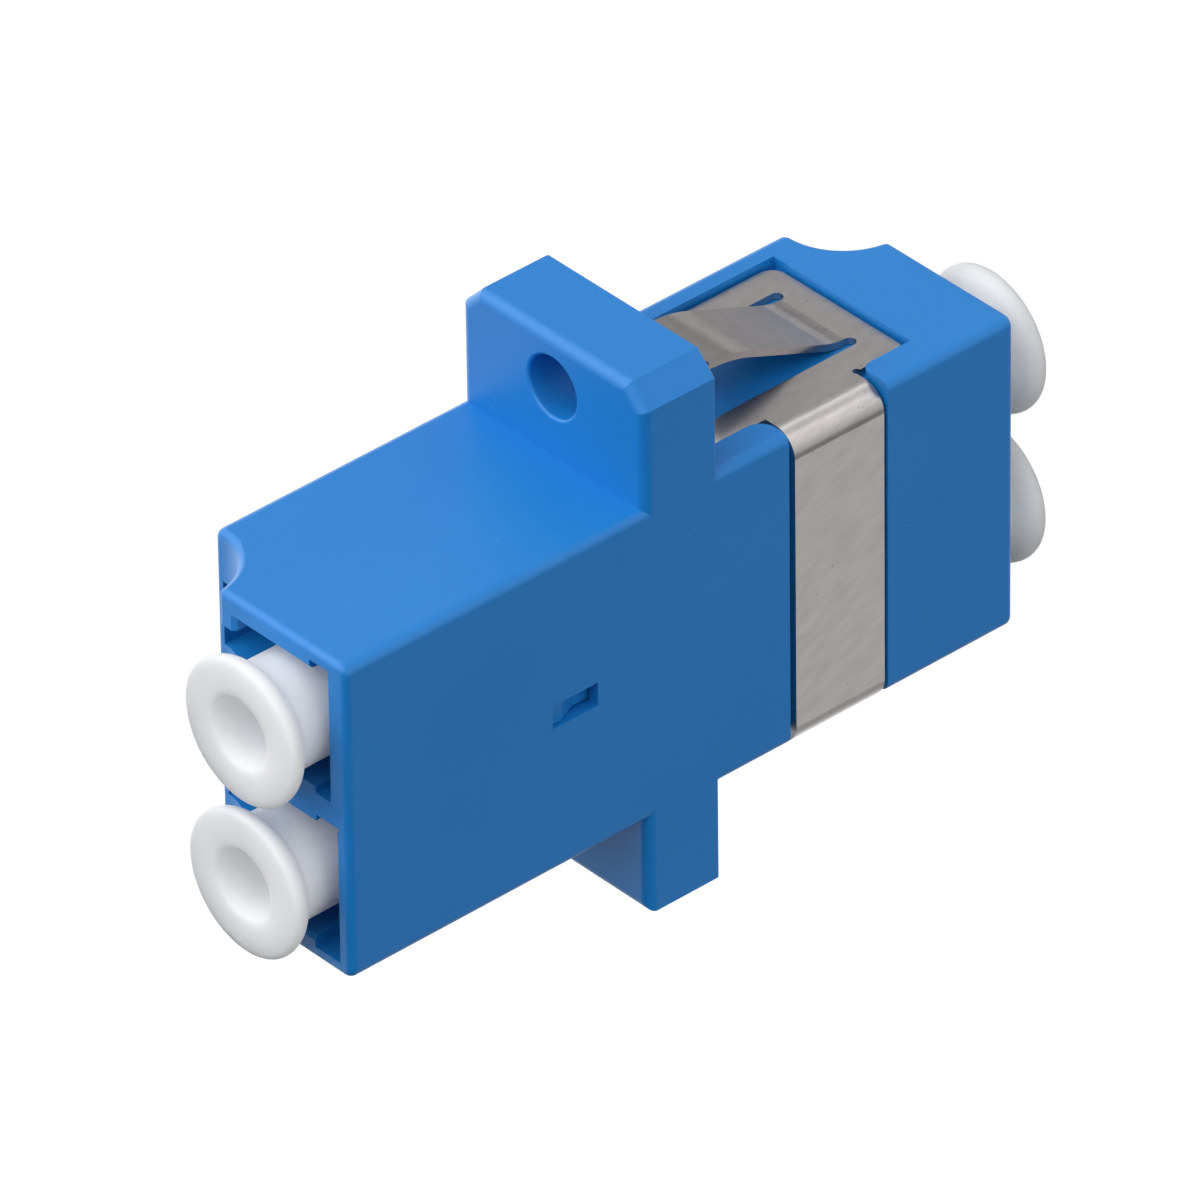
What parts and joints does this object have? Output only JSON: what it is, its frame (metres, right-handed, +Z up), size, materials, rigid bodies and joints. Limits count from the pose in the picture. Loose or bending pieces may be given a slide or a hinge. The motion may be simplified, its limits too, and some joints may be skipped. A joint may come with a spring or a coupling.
{
  "type": "lc fibre adapter",
  "caption": "Blue duplex fibre adapter with a screw flange, a folded spring clip for panel mounting, split ceramic sleeves and soft white dust caps.",
  "frame": {"origin": "midway between the two screw holes, in the middle of the flange's thickness", "axes": "+X along the fibres towards the clip end, +Y towards the latch side, +Z up through the chamfered ear of the flange"},
  "size_m": [0.0343, 0.0092, 0.0216],
  "materials": {
    "housing_blue": "semi-gloss moulded polymer",
    "insert_blue": "semi-gloss moulded polymer",
    "sleeve_ceramic": "polished ceramic",
    "clip_steel": "satin rolled stainless sheet",
    "cap_white": "soft translucent polymer"
  },
  "bodies": {
    "adapter": {"housing": "housing_blue", "sleeve_holder": "insert_blue", "split_sleeve_upper": "sleeve_ceramic", "split_sleeve_lower": "sleeve_ceramic", "mounting_clip": "clip_steel"},
    "cap_front_upper": {"dust_cap_front_upper": "cap_white"},
    "cap_front_lower": {"dust_cap_front_lower": "cap_white"},
    "cap_rear_upper": {"dust_cap_rear_upper": "cap_white"},
    "cap_rear_lower": {"dust_cap_rear_lower": "cap_white"}
  },
  "joints": [
    {"name": "cap_front_upper_pull", "type": "slide", "parent": "adapter", "child": "cap_front_upper", "axis": [-1, 0, 0], "range_m": [0, 0.015]},
    {"name": "cap_front_lower_pull", "type": "slide", "parent": "adapter", "child": "cap_front_lower", "axis": [-1, 0, 0], "range_m": [0, 0.015]},
    {"name": "cap_rear_upper_pull", "type": "slide", "parent": "adapter", "child": "cap_rear_upper", "axis": [1, 0, 0], "range_m": [0, 0.015]},
    {"name": "cap_rear_lower_pull", "type": "slide", "parent": "adapter", "child": "cap_rear_lower", "axis": [1, 0, 0], "range_m": [0, 0.015]}
  ]
}
